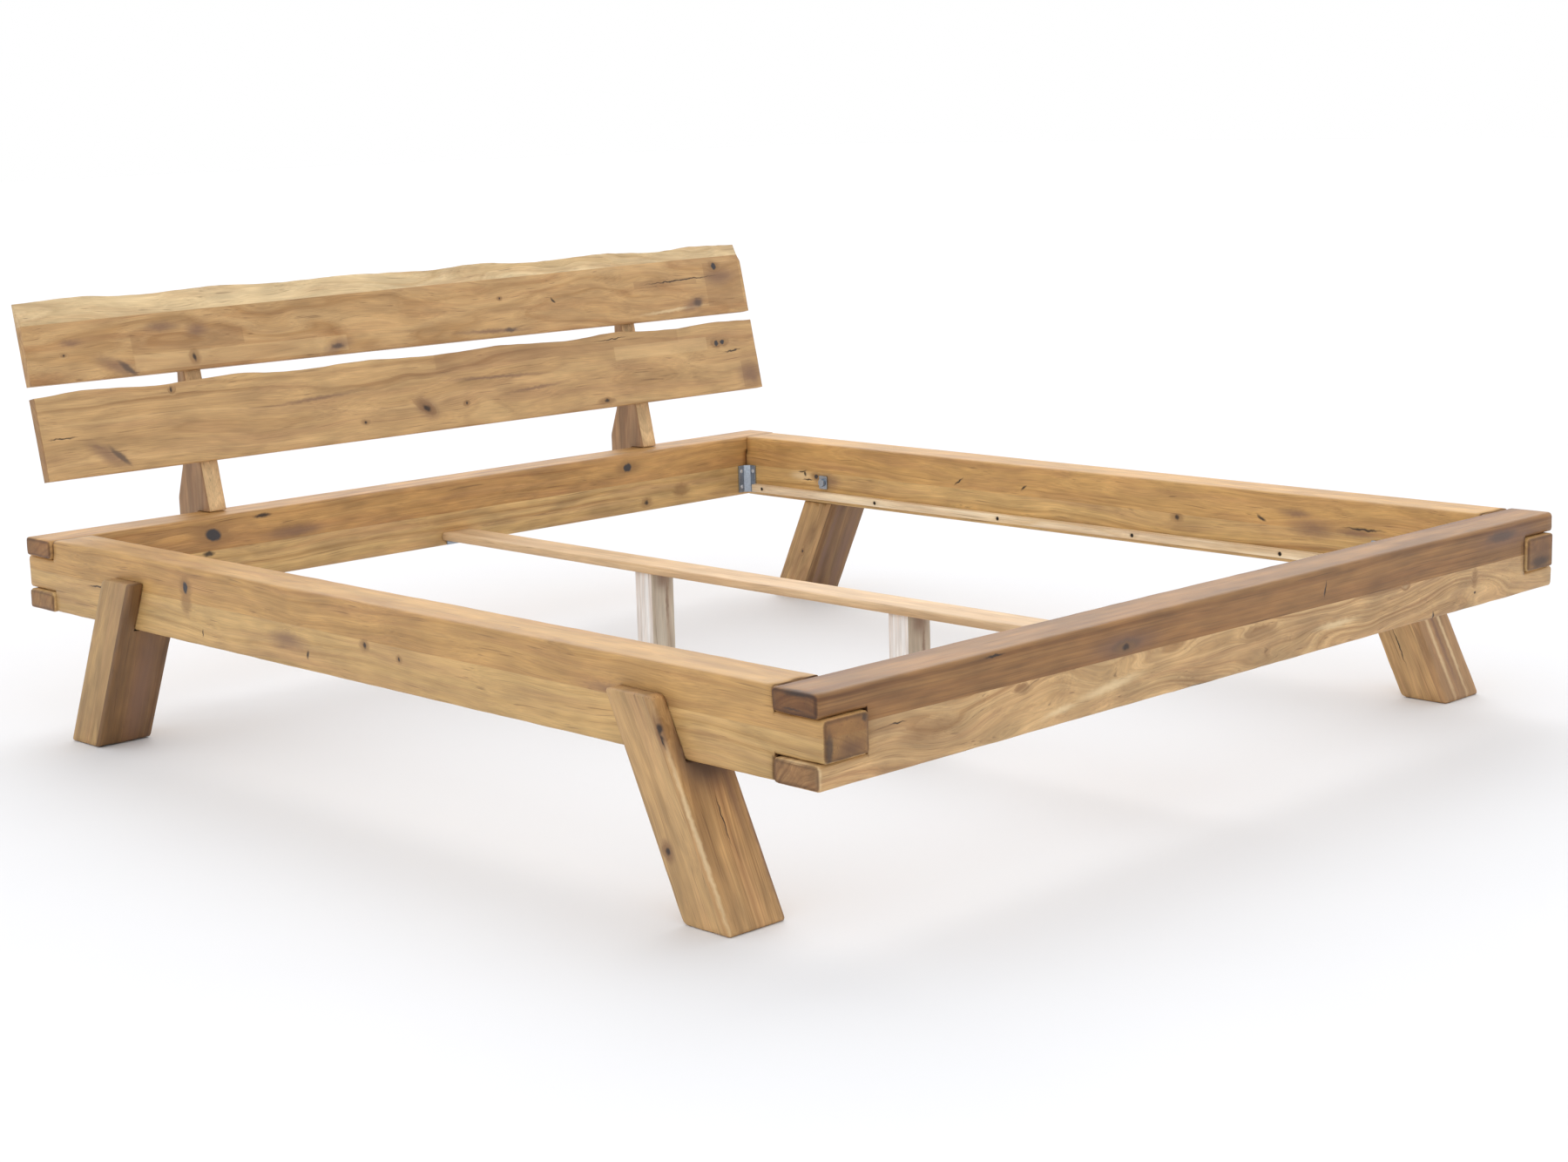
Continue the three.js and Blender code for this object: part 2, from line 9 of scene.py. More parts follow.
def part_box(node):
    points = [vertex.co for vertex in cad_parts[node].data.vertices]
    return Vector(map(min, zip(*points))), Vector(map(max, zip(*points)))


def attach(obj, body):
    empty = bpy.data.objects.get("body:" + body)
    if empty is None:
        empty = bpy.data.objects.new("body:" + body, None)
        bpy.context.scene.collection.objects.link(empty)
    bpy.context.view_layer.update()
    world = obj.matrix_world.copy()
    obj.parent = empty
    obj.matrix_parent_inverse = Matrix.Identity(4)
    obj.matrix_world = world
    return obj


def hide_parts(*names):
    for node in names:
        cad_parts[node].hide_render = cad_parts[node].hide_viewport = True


# An oiled wild-oak beam bed. Every timber is worked from its plain solid: cut into small faces, eased along
# its edges and hewn a little uneven. Every timber also has its own oak, with the grain along its length.
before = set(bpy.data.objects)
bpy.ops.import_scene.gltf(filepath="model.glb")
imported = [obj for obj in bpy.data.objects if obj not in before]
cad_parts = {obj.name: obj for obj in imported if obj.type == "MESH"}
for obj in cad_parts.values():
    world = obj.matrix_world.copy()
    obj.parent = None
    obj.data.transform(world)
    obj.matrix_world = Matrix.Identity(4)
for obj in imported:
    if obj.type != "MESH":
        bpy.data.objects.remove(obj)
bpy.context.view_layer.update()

MM = 0.001
LEG_LEAN = math.radians(25.5)
HEADBOARD_LEAN = math.radians(12.5)
HEADBOARD_FOOT = 1051 * MM  # the planks' front plane at the rail's top, from the middle of the frame
LEG_FOOT = 900 * MM  # middle of a leg's foot, from the middle of the frame
PLANK_STARTS = {"lower": 112 * MM, "upper": 305 * MM}
PLANK_WIDTH = 175 * MM
UPPER_BEVEL = 50 * MM
BEAM_UNDERSIDE = 244 * MM
LOWER_JOINT = 284 * MM  # where a cross beam's lower finger meets a side beam's middle one
UPPER_JOINT = 350 * MM  # where the middle finger meets the upper one
BEAM_TOP = 388 * MM
SAME_PLACE = 0.01 * MM  # points nearer than this are one point

rail_low, rail_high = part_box("side_rail_left")
middle_y = (rail_low.y + rail_high.y) / 2
rail_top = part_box("head_rail")[1].z
outer_x = -rail_low.x
inner_x = -rail_high.x
inner_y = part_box("head_rail")[0].y - middle_y
outer_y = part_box("head_rail")[1].y - middle_y


# ---------------------------------------------------------------- timbers and what marks them


@dataclass
class Mark:
    """A knot, crack or stain: a stretched ball in the timber's own frame, in millimetres."""
    kind: str
    place: tuple
    size: tuple
    slant: float = 0.0


@dataclass
class Timber:
    """A timber's own frame: x runs along its grain, from an origin, turned by an Euler rotation."""
    origin: Vector
    turn: Euler

    def matrix(self):
        return Matrix.Translation(self.origin) @ self.turn.to_matrix().to_4x4()


def along_x():
    return Timber(Vector((0, middle_y, 0)), Euler((0, 0, 0)))


def along_y():
    return Timber(Vector((0, middle_y, 0)), Euler((0, 0, math.pi / 2)))


def along_z(x, y):
    return Timber(Vector((x, y, 0)), Euler((0, -math.pi / 2, 0)))


def along_leg(side_sign, end_sign):
    upright = Matrix.Rotation(-math.pi / 2, 3, "Y")
    lean = Matrix.Rotation(end_sign * LEG_LEAN, 3, "X")
    origin = Vector((side_sign * outer_x, middle_y + end_sign * LEG_FOOT, 0))
    return Timber(origin, (lean @ upright).to_euler())


def along_plank():
    origin = Vector((0, middle_y + HEADBOARD_FOOT, rail_top))
    return Timber(origin, Euler((math.pi / 2 - HEADBOARD_LEAN, 0, 0)))


# ---------------------------------------------------------------- material tools


def colour(hex_code):
    """A linear colour from an sRGB hex code."""
    channels = [int(hex_code[i:i + 2], 16) / 255 for i in (0, 2, 4)]
    linear = [c / 12.92 if c <= 0.04045 else ((c + 0.055) / 1.055) ** 2.4 for c in channels]
    return (*linear, 1.0)


def add(tree, kind, inputs=None, **settings):
    """A new node with its settings, and with each input set to a value or linked to a socket or node."""
    node = tree.nodes.new(kind)
    for name, value in settings.items():
        setattr(node, name, value)
    for name, value in (inputs or {}).items():
        if isinstance(value, bpy.types.Node):
            value = value.outputs[0]
        if isinstance(value, bpy.types.NodeSocket):
            tree.links.new(value, node.inputs[name])
        else:
            node.inputs[name].default_value = value
    return node


def new_material(name):
    material = bpy.data.materials.new(name)
    material.use_nodes = True
    tree = material.node_tree
    return material, tree, tree.nodes["Principled BSDF"]


# ---------------------------------------------------------------- oak

# Heartwood from pale early wood to brown late wood, as linseed oil turns it: honey with a rosy cast.
EARLY_WOOD = "d1ab70"
LATE_WOOD = "ab824b"
ROSY_WOOD = "b68b61"
END_GRAIN = "c4b4a4"
# The border of a sawn end: oil-soaked end grain, darkened further as painted shade of the grooves between
# fingers.
END_RIM_AND_GROOVE_SHADE = "7d6656"
HAIRLINE = "6e4c30"

RING_WIDTH = 5 * MM  # real rings are 2 to 4 mm apart; the widest are drawn, so that they show
FIBRE_WIDTH = 1.8 * MM  # real pores are 0.3 mm wide; drawn as bundles of them
FIBRE_STRETCH = 42  # a fibre's length over its width
HAIR_WIDTH = 3.2 * MM
HAIR_STRETCH = 60
STREAK_WIDTH = 22 * MM
STREAK_STRETCH = 16
CLOUD_WIDTH = 36 * MM
CLOUD_STRETCH = 3.5
SWELL = 11 * MM  # how far the grain bows round a knot
RAGGED = 8 * MM  # how far a mark's outline strays
RAGGED_WAVES = 70.0  # in each metre of a mark's outline
RIM_WIDTH = 9 * MM  # the darker border of a sawn end: oil-soaked wood, with painted shade of its eased edges and of the grooves between fingers
SEAM_OR_SHADE_EDGE_WOBBLE = 2 * MM  # how far a glue line or a painted-shade edge strays
SEAM_OR_SHADE_EDGE_WAVES = 3.0  # in each metre of a glue line or a painted-shade edge
SEAM_OR_SHADE_EDGE_JUMP = (0.83, 0.021, 0.017)  # metres in the log from one stave's wood to the next one's, across a glue line or a painted-shade edge
WANDER = 55 * MM  # how far the heart of wild oak strays
WANDER_WAVES = (1.9, 7.0, 7.0)  # in each metre, along the grain and across it
FIBRE_RELIEF = 0.6 * MM

# How each kind of mark is drawn: its colour, how much it covers, and where inside it is at its fullest.
MARKS = {
    "sap": ("ecd3a6", 0.62, 0.10),
    # Smoke and soot marks darken the wood. Many of them are painted shade: under rails, on faces turned from
    # the light, at the tops of the centre feet.
    "smoke_and_painted_shade": ("7a5a48", 0.72, 0.05),
    "soot_and_painted_shade": ("54443c", 0.80, 0.30),
    "ring": ("85603a", 0.60, 0.35),
    "resin": ("2f3036", 0.95, 0.62),
    "knot": ("2e2019", 0.92, 0.30),
    # A check is drawn almost black: the crack's own darker wood, with painted shade inside it, which here is
    # only a bump.
    "check": ("24170f", 0.92, 0.25),
}
# Glued-in staves of another tone, which are drawn as boxes with sharp sides.
STAVES = {
    "brown stave": ("916a45", 0.32, 0.985),
    "pale stave": ("e2c08c", 0.30, 0.985),
}


@dataclass
class SeamOrShadeEdge:
    """A glue line, or the edge of painted shade over part of a timber: the wood below and above it differs in
    tone, and may be calmer above.
    """
    axis: str
    level: float
    below: str = "ffffff"
    above: str = "ffffff"
    rise: float = 0.0  # millimetres in each metre along the grain
    calm: float = 0.0


@dataclass
class Oak:
    """How one timber's wood looks."""
    heart: tuple  # where the tree's heart lies across the grain, in millimetres
    seed: float
    light: str = EARLY_WOOD
    dark: str = LATE_WOOD
    wild: float = 1.0  # how far the grain wanders
    figure: float = 1.0  # how strongly the rings show
    clouds: float = 1.0  # how strongly the broad tones show
    ends: float = 1.0  # how much darker the sawn ends are
    seams_or_shade_edges: tuple = ()
    marks: tuple = ()
    faces: tuple = ()  # for a jointed beam, its inner and outer face, for the border of its ends
    slant_axis: int = 1


def with_rings(marks):
    """The marks, with a softer brown ring round every knot, drawn out along the grain."""
    rings = [
        Mark("ring", m.place, tuple(s * f for s, f in zip(m.size, (3.2, 2.0, 2.0))), m.slant)
        for m in marks if m.kind in ("knot", "resin")
    ]
    return rings + list(marks)


def above_seams_or_shade_edges(tree, board, parts, seams_or_shade_edges):
    """For each glue line or painted-shade edge, a mask of the wood above it."""
    masks = []
    for seam_or_shade_edge in seams_or_shade_edges:
        wobble = add(tree, "ShaderNodeTexNoise", {"Vector": board, "Scale": SEAM_OR_SHADE_EDGE_WAVES})
        level = add(tree, "ShaderNodeMath", {
            0: wobble, 1: SEAM_OR_SHADE_EDGE_WOBBLE, 2: seam_or_shade_edge.level * MM}, operation="MULTIPLY_ADD")
        height = add(tree, "ShaderNodeMath", {
            0: parts.outputs["X"], 1: -seam_or_shade_edge.rise * MM, 2: parts.outputs[seam_or_shade_edge.axis]}, operation="MULTIPLY_ADD")
        masks.append(add(tree, "ShaderNodeMath", {0: height, 1: level}, operation="GREATER_THAN"))
    return masks


def sawn_from_log(tree, board, masks):
    """Board coordinates that jump at every glue line, because each stave was sawn from elsewhere in a log.
    They jump at a painted-shade edge too.
    """
    sawn = board
    for mask in masks:
        jump = add(tree, "ShaderNodeCombineXYZ", {"X": mask, "Y": mask, "Z": mask})
        sawn = add(tree, "ShaderNodeVectorMath", {
            0: jump, 1: SEAM_OR_SHADE_EDGE_JUMP, 2: sawn}, operation="MULTIPLY_ADD")
    return sawn


def mark_masks(tree, board, oak):
    """One mask for each kind of mark: stretched balls with ragged outlines, or sharp boxes."""
    ragged = add(tree, "ShaderNodeTexNoise", {"Vector": board, "Scale": RAGGED_WAVES, "Detail": 2.0})
    stray = add(tree, "ShaderNodeVectorMath", {
        0: ragged.outputs["Color"], 1: (RAGGED,) * 3, 2: board}, operation="MULTIPLY_ADD")
    centred = add(tree, "ShaderNodeVectorMath", {0: stray, 1: (RAGGED / 2,) * 3}, operation="SUBTRACT")
    masks = {}
    for mark in with_rings(oak.marks):
        boxed = mark.kind in STAVES
        turn = [0.0, 0.0, 0.0]
        turn[oak.slant_axis] = math.radians(mark.slant)
        place = add(tree, "ShaderNodeMapping", {
            "Vector": board if boxed else centred,
            "Location": tuple(v * MM for v in mark.place),
            "Rotation": turn,
            "Scale": tuple(v * MM for v in mark.size),
        }, vector_type="TEXTURE")
        if boxed:
            sides = add(tree, "ShaderNodeVectorMath", {0: place}, operation="ABSOLUTE")
            side = add(tree, "ShaderNodeSeparateXYZ", {"Vector": sides})
            across = add(tree, "ShaderNodeMath", {
                0: side.outputs["Y"], 1: side.outputs["Z"]}, operation="MAXIMUM")
            far = add(tree, "ShaderNodeMath", {0: side.outputs["X"], 1: across}, operation="MAXIMUM")
        else:
            far = add(tree, "ShaderNodeVectorMath", {0: place}, operation="LENGTH").outputs["Value"]
        full = (STAVES if boxed else MARKS)[mark.kind][2]
        mask = add(tree, "ShaderNodeMapRange", {"Value": far, "From Min": 1.0, "From Max": full},
                   interpolation_type="SMOOTHSTEP")
        masks[mark.kind] = mask if mark.kind not in masks else add(
            tree, "ShaderNodeMath", {0: masks[mark.kind], 1: mask}, operation="MAXIMUM")
    return masks


def drawn_out_noise(tree, vector, width, stretch, detail, roughness=0.5):
    """Noise whose blots are as wide as given, and longer by the stretch along the grain."""
    scaled = add(tree, "ShaderNodeMapping", {
        "Vector": vector, "Scale": (1 / width / stretch, 1 / width, 1 / width)})
    return add(tree, "ShaderNodeTexNoise", {
        "Vector": scaled, "Scale": 1.0, "Detail": detail, "Roughness": roughness})


def growth_rings(tree, sawn, calm, swell, oak):
    """Bands of uneven width at growing distances from a wandering heart line. Gives the bands, the
    wandering coordinates, and a veil that shows the bands in one place and hides them in another."""
    slow = add(tree, "ShaderNodeMapping", {
        "Vector": sawn, "Scale": WANDER_WAVES, "Location": (oak.seed,) * 3})
    wander = add(tree, "ShaderNodeTexNoise", {"Vector": slow, "Scale": 1.0, "Detail": 2.5})
    bend = add(tree, "ShaderNodeVectorMath", {
        0: wander.outputs["Color"], 1: (0.0, WANDER * oak.wild, WANDER * oak.wild)}, operation="MULTIPLY")
    if calm:
        bend = add(tree, "ShaderNodeVectorMath", {0: bend, "Scale": calm.outputs[0]}, operation="SCALE")
    wandering = add(tree, "ShaderNodeVectorMath", {0: bend, 1: sawn}, operation="ADD")
    crosswise = add(tree, "ShaderNodeVectorMath", {
        0: wandering, 1: (0.0, 1.0, 1.0), 2: tuple(-v * MM for v in oak.heart)}, operation="MULTIPLY_ADD")
    radius = add(tree, "ShaderNodeVectorMath", {0: crosswise}, operation="LENGTH").outputs["Value"]
    if swell:
        radius = add(tree, "ShaderNodeMath", {0: swell, 1: SWELL, 2: radius}, operation="MULTIPLY_ADD")
    turns = add(tree, "ShaderNodeMath", {
        0: radius, 1: 1 / RING_WIDTH, 2: oak.seed}, operation="MULTIPLY_ADD")
    rings = add(tree, "ShaderNodeTexNoise", {"W": turns, "Scale": 0.5, "Detail": 3.0, "Roughness": 0.62},
                noise_dimensions="1D")
    bands = add(tree, "ShaderNodeMapRange", {"Value": rings, "From Min": 0.34, "From Max": 0.72})
    veil = add(tree, "ShaderNodeMapRange", {
        "Value": wander, "From Min": 0.32, "From Max": 0.66,
        "To Min": 0.2 * oak.figure, "To Max": oak.figure})
    return bands, wandering, veil


def sawn_end_colour(tree, wood, place, parts, timber, oak):
    """End grain drinks more oil, so a sawn end is darker and greyer. It is darkest along its border:
    oil-soaked wood, with painted shade of its eased edges and of the grooves between fingers.
    """
    grain = timber.turn.to_matrix() @ Vector((1, 0, 0))
    facing = add(tree, "ShaderNodeVectorMath", {
        0: place.outputs["Normal"], 1: grain}, operation="DOT_PRODUCT")
    endwise = add(tree, "ShaderNodeMath", {0: facing.outputs["Value"]}, operation="ABSOLUTE")
    ends = add(tree, "ShaderNodeMapRange", {
        "Value": endwise, "From Min": 0.55, "From Max": 0.88, "To Max": oak.ends})
    wood = add(tree, "ShaderNodeMixRGB", {"Fac": ends, "Color1": wood, "Color2": colour(END_GRAIN)},
               blend_type="MULTIPLY")
    if not oak.faces:
        return wood
    inner, outer = oak.faces
    depth = add(tree, "ShaderNodeMath", {0: parts.outputs["Y"]}, operation="ABSOLUTE")
    nearest = None
    for axis, level in (
        (depth, inner), (depth, outer),
        *((parts.outputs["Z"], height) for height in (BEAM_UNDERSIDE, LOWER_JOINT, UPPER_JOINT, BEAM_TOP)),
    ):
        away = add(tree, "ShaderNodeMath", {0: axis, 1: level}, operation="SUBTRACT")
        distance = add(tree, "ShaderNodeMath", {0: away}, operation="ABSOLUTE")
        nearest = distance if nearest is None else add(
            tree, "ShaderNodeMath", {0: nearest, 1: distance}, operation="MINIMUM")
    # Part of this border darkening is painted shade, for the grooves and eased edges between finger ends.
    rim = add(tree, "ShaderNodeMapRange", {"Value": nearest, "From Min": RIM_WIDTH, "From Max": 0.0})
    soaked_and_shaded = add(tree, "ShaderNodeMath", {0: rim, 1: ends}, operation="MULTIPLY")
    return add(tree, "ShaderNodeMixRGB", {"Fac": soaked_and_shaded, "Color1": wood, "Color2": colour(END_RIM_AND_GROOVE_SHADE)},
               blend_type="MULTIPLY")


def oiled_oak(name, timber, oak):
    """Wild oak, planed and oiled: a satin surface with growth rings, fine open fibres, glued staves of
    unlike tones, broad warm and pale clouds, knots that the grain bows round, and painted shade in some marks
    and tone edges."""
    material, tree, shader = new_material(name)
    place = add(tree, "ShaderNodeTexCoord")
    board = add(tree, "ShaderNodeMapping", {
        "Vector": place.outputs["Object"],
        "Location": timber.origin,
        "Rotation": timber.turn,
    }, vector_type="TEXTURE")
    parts = add(tree, "ShaderNodeSeparateXYZ", {"Vector": board})
    above = above_seams_or_shade_edges(tree, board, parts, oak.seams_or_shade_edges)
    sawn = sawn_from_log(tree, board, above)
    masks = mark_masks(tree, board, oak)
    calm = None
    for mask, seam_or_shade_edge in zip(above, oak.seams_or_shade_edges):
        if seam_or_shade_edge.calm:
            calm = add(tree, "ShaderNodeMapRange", {"Value": mask, "To Min": 1.0, "To Max": 1 - seam_or_shade_edge.calm})
    bands, wandering, veil = growth_rings(tree, sawn, calm, masks.get("ring"), oak)
    fibres = drawn_out_noise(tree, wandering, FIBRE_WIDTH, FIBRE_STRETCH, 2.0, 0.65)
    hairs = drawn_out_noise(tree, wandering, HAIR_WIDTH, HAIR_STRETCH, 1.0)
    streaks = drawn_out_noise(tree, wandering, STREAK_WIDTH, STREAK_STRETCH, 3.0)
    clouds = drawn_out_noise(tree, wandering, CLOUD_WIDTH, CLOUD_STRETCH, 2.0, 0.6)

    # The wood itself, from its rings out to its finest fibres
    shown = add(tree, "ShaderNodeMath", {0: bands, 1: veil}, operation="MULTIPLY")
    wood = add(tree, "ShaderNodeMixRGB", {
        "Fac": shown, "Color1": colour(oak.light), "Color2": colour(oak.dark)})
    rosy = add(tree, "ShaderNodeMapRange", {
        "Value": streaks, "From Min": 0.45, "From Max": 0.75, "To Max": 0.6})
    wood = add(tree, "ShaderNodeMixRGB", {"Fac": rosy, "Color1": wood, "Color2": colour(ROSY_WOOD)})
    hair = add(tree, "ShaderNodeMapRange", {
        "Value": hairs, "From Min": 0.66, "From Max": 0.76, "To Max": 0.5})
    wood = add(tree, "ShaderNodeMixRGB", {"Fac": hair, "Color1": wood, "Color2": colour(HAIRLINE)})
    tone = add(tree, "ShaderNodeMapRange", {
        "Value": clouds, "From Min": 0.32, "From Max": 0.68,
        "To Min": 1 - 0.26 * oak.clouds, "To Max": 1 + 0.14 * oak.clouds})
    line = add(tree, "ShaderNodeMapRange", {
        "Value": fibres, "From Min": 0.35, "From Max": 0.70, "To Min": 0.86, "To Max": 1.08})
    for shade in (tone, line):
        wood = add(tree, "ShaderNodeMixRGB", {"Fac": 1.0, "Color1": wood, "Color2": shade},
                   blend_type="MULTIPLY")

    # What was glued, stained or grown into it, and the painted shade that some marks and tone edges carry
    for mask, seam_or_shade_edge in zip(above, oak.seams_or_shade_edges):
        tint = add(tree, "ShaderNodeMixRGB", {
            "Fac": mask, "Color1": colour(seam_or_shade_edge.below), "Color2": colour(seam_or_shade_edge.above)})
        wood = add(tree, "ShaderNodeMixRGB", {"Fac": 1.0, "Color1": wood, "Color2": tint},
                   blend_type="MULTIPLY")
    for kind, (shade, cover, _) in {**STAVES, **MARKS}.items():
        if kind in masks:
            amount = add(tree, "ShaderNodeMath", {0: masks[kind], 1: cover}, operation="MULTIPLY")
            wood = add(tree, "ShaderNodeMixRGB", {"Fac": amount, "Color1": wood, "Color2": colour(shade)})
    wood = sawn_end_colour(tree, wood, place, parts, timber, oak)

    # Its surface: raised fibres, and knots and cracks that lie deeper
    height = add(tree, "ShaderNodeMath", {0: bands, 1: 0.5, 2: fibres}, operation="MULTIPLY_ADD")
    for kind, depth in (("check", -3.0), ("knot", -1.2), ("resin", -0.5)):
        if kind in masks:
            height = add(tree, "ShaderNodeMath", {0: masks[kind], 1: depth, 2: height},
                         operation="MULTIPLY_ADD")
    bump = add(tree, "ShaderNodeBump", {"Height": height, "Strength": 0.45, "Distance": FIBRE_RELIEF})
    satin = add(tree, "ShaderNodeMapRange", {"Value": fibres, "To Min": 0.42, "To Max": 0.66})
    tree.links.new(wood.outputs[0], shader.inputs["Base Color"])
    tree.links.new(satin.outputs[0], shader.inputs["Roughness"])
    tree.links.new(bump.outputs[0], shader.inputs["Normal"])
    shader.inputs["IOR"].default_value = 1.5
    shader.inputs["Specular IOR Level"].default_value = 0.5
    return material


# ---------------------------------------------------------------- steel

ZINC_CLOUDS = 260.0  # in each metre of plated steel


def zinc_plated_steel(name="zinc_plated_steel", shade="7d8a9a", shine="c3ccd6", smooth=0.28, dull=0.5):
    """Cold-rolled sheet and rod, zinc plated: a bluish grey metal with faint clouds."""
    material, tree, shader = new_material(name)
    place = add(tree, "ShaderNodeTexCoord")
    clouds = add(tree, "ShaderNodeTexNoise", {
        "Vector": place.outputs["Object"], "Scale": ZINC_CLOUDS, "Detail": 3.0})
    steel = add(tree, "ShaderNodeMixRGB", {"Fac": clouds, "Color1": colour(shade), "Color2": colour(shine)})
    sheen = add(tree, "ShaderNodeMapRange", {"Value": clouds, "To Min": smooth, "To Max": dull})
    tree.links.new(steel.outputs[0], shader.inputs["Base Color"])
    tree.links.new(sheen.outputs[0], shader.inputs["Roughness"])
    shader.inputs["Metallic"].default_value = 1.0
    return material


# ---------------------------------------------------------------- working the timbers

TIMBER_CREASE = 40  # degrees
SCREW_CREASE = 50  # degrees
CELL_LONG = 24 * MM
CELL_CROSS = 12 * MM
HEWN = 0.7 * MM  # depth of the planed surface's slow hollows
HOLLOWS_ALONG = 3.1  # in each metre, along the grain
HOLLOWS_ACROSS = 13
EDGE_WEAR = 1.8 * MM  # deepest wear of a long edge
CHIPS_ALONG = 24  # in each metre of a worn edge, along the grain
CHIPS_ACROSS = 30
EDGE_TURN = 0.22  # an edge is fully worn where 1 less the cosine of its normal's turn is this
MEAN_WEAR = 0.45  # share of the deepest wear
CHIP_WEAR = 0.9  # how much a chip adds to that share


def stations(low, high, step):
    count = max(1, round((high - low) / step))
    return [low + (high - low) * i / count for i in range(1, count)]


def cut_into_cells(mesh, long_cell, cross_cell):
    """Cuts every face along planes square to the timber's axes, so that it can be shaped finely."""
    for axis, cell in ((0, long_cell), (1, cross_cell), (2, cross_cell)):
        places = [v.co[axis] for v in mesh.verts]
        normal = Vector((0, 0, 0))
        normal[axis] = 1
        for station in stations(min(places), max(places), cell):
            bmesh.ops.bisect_plane(
                mesh, geom=mesh.verts[:] + mesh.edges[:] + mesh.faces[:], plane_co=normal * station,
                plane_no=normal, dist=SAME_PLACE)


def wear(point, normal, wear_depth, seed):
    """How deep the surface lies below the plain solid at a point of the timber's own frame."""
    hollow = noise.noise(Vector((
        point.x * HOLLOWS_ALONG + seed, point.y * HOLLOWS_ACROSS, point.z * HOLLOWS_ACROSS)))
    chip = noise.noise(Vector((
        point.x * CHIPS_ALONG + seed, point.y * CHIPS_ACROSS, point.z * CHIPS_ACROSS)))
    edge = min(1.0, (1 - max(abs(c) for c in normal)) / EDGE_TURN)
    worn = wear_depth * edge * (MEAN_WEAR + CHIP_WEAR * max(-0.5, chip))
    return HEWN * (0.5 + 0.5 * hollow) + worn


def make_piece(name, mesh, material, crease):
    """A smoothly shaded piece, sharp where its faces meet at more than the crease, in degrees."""
    data = bpy.data.meshes.new(name)
    mesh.to_mesh(data)
    mesh.free()
    data.shade_smooth()
    data.set_sharp_from_angle(angle=math.radians(crease))
    data.materials.append(material)
    piece = bpy.data.objects.new(name, data)
    bpy.context.scene.collection.objects.link(piece)
    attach(piece, "root")
    return piece


def work_timber(node, timber, material, long_cell=CELL_LONG, cross_cell=CELL_CROSS,
                wear_depth=EDGE_WEAR, shape=None, seed=0.0):
    """A worked copy of a plain timber, which it replaces."""
    to_timber = timber.matrix().inverted()
    mesh = bmesh.new()
    mesh.from_mesh(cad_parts[node].data)
    bmesh.ops.transform(mesh, matrix=to_timber, verts=mesh.verts)
    bmesh.ops.remove_doubles(mesh, verts=mesh.verts, dist=SAME_PLACE)
    bmesh.ops.dissolve_limit(
        mesh, angle_limit=math.radians(0.6), verts=mesh.verts, edges=mesh.edges, delimit=set())
    cut_into_cells(mesh, long_cell, cross_cell)
    mesh.normal_update()
    moved = []
    for vertex in mesh.verts:
        depth = max(0.0, wear(vertex.co, vertex.normal, wear_depth, seed))
        place = vertex.co - vertex.normal * depth
        moved.append(shape(place) if shape else place)
    for vertex, place in zip(mesh.verts, moved):
        vertex.co = place
    bmesh.ops.transform(mesh, matrix=timber.matrix(), verts=mesh.verts)
    bmesh.ops.triangulate(mesh, faces=[f for f in mesh.faces if len(f.verts) > 4])
    piece = make_piece(f"worked_{node}", mesh, material, TIMBER_CREASE)
    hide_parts(node)


# ---------------------------------------------------------------- the four beams


def on_left_outer(x, z, kind, size, slant=0.0):
    return Mark(kind, (x, outer_x / MM, z), size, slant)


def on_right_inner(x, z, kind, size, slant=0.0):
    return Mark(kind, (x, -inner_x / MM, z), size, slant)


def on_head_inner(x, z, kind, size, slant=0.0):
    return Mark(kind, (x, inner_y / MM, z), size, slant)


def on_foot_outer(x, z, kind, size, slant=0.0):
    return Mark(kind, (x, -outer_y / MM, z), size, slant)


left_rail_oak = Oak((0, 1060, 190), 2.3, figure=0.7, clouds=0.7,
                    seams_or_shade_edges=(SeamOrShadeEdge("Z", 322, above="f6ede2"),), marks=(
    on_left_outer(540, 349, "resin", (9, 12, 14)),
    on_left_outer(540, 322, "ring", (24, 14, 34)),
    on_left_outer(150, 275, "check", (5, 8, 11)),
    on_left_outer(-22, 314, "knot", (6, 8, 8)),
    on_left_outer(490, 270, "check", (3, 8, 11)),
    on_left_outer(-120, 303, "knot", (4, 6, 5)),
    on_left_outer(210, 293, "smoke_and_painted_shade", (90, 20, 24)),
    on_left_outer(850, 316, "check", (60, 8, 3), 4),
    on_left_outer(-700, 330, "smoke_and_painted_shade", (160, 14, 16)),
    Mark("soot_and_painted_shade", (-1126, 984, 305), (12, 10, 38)),
    Mark("soot_and_painted_shade", (-1126, 911, 340), (10, 8, 10)),
    Mark("smoke_and_painted_shade", (-1126, 940, 300), (12, 46, 24)),
))
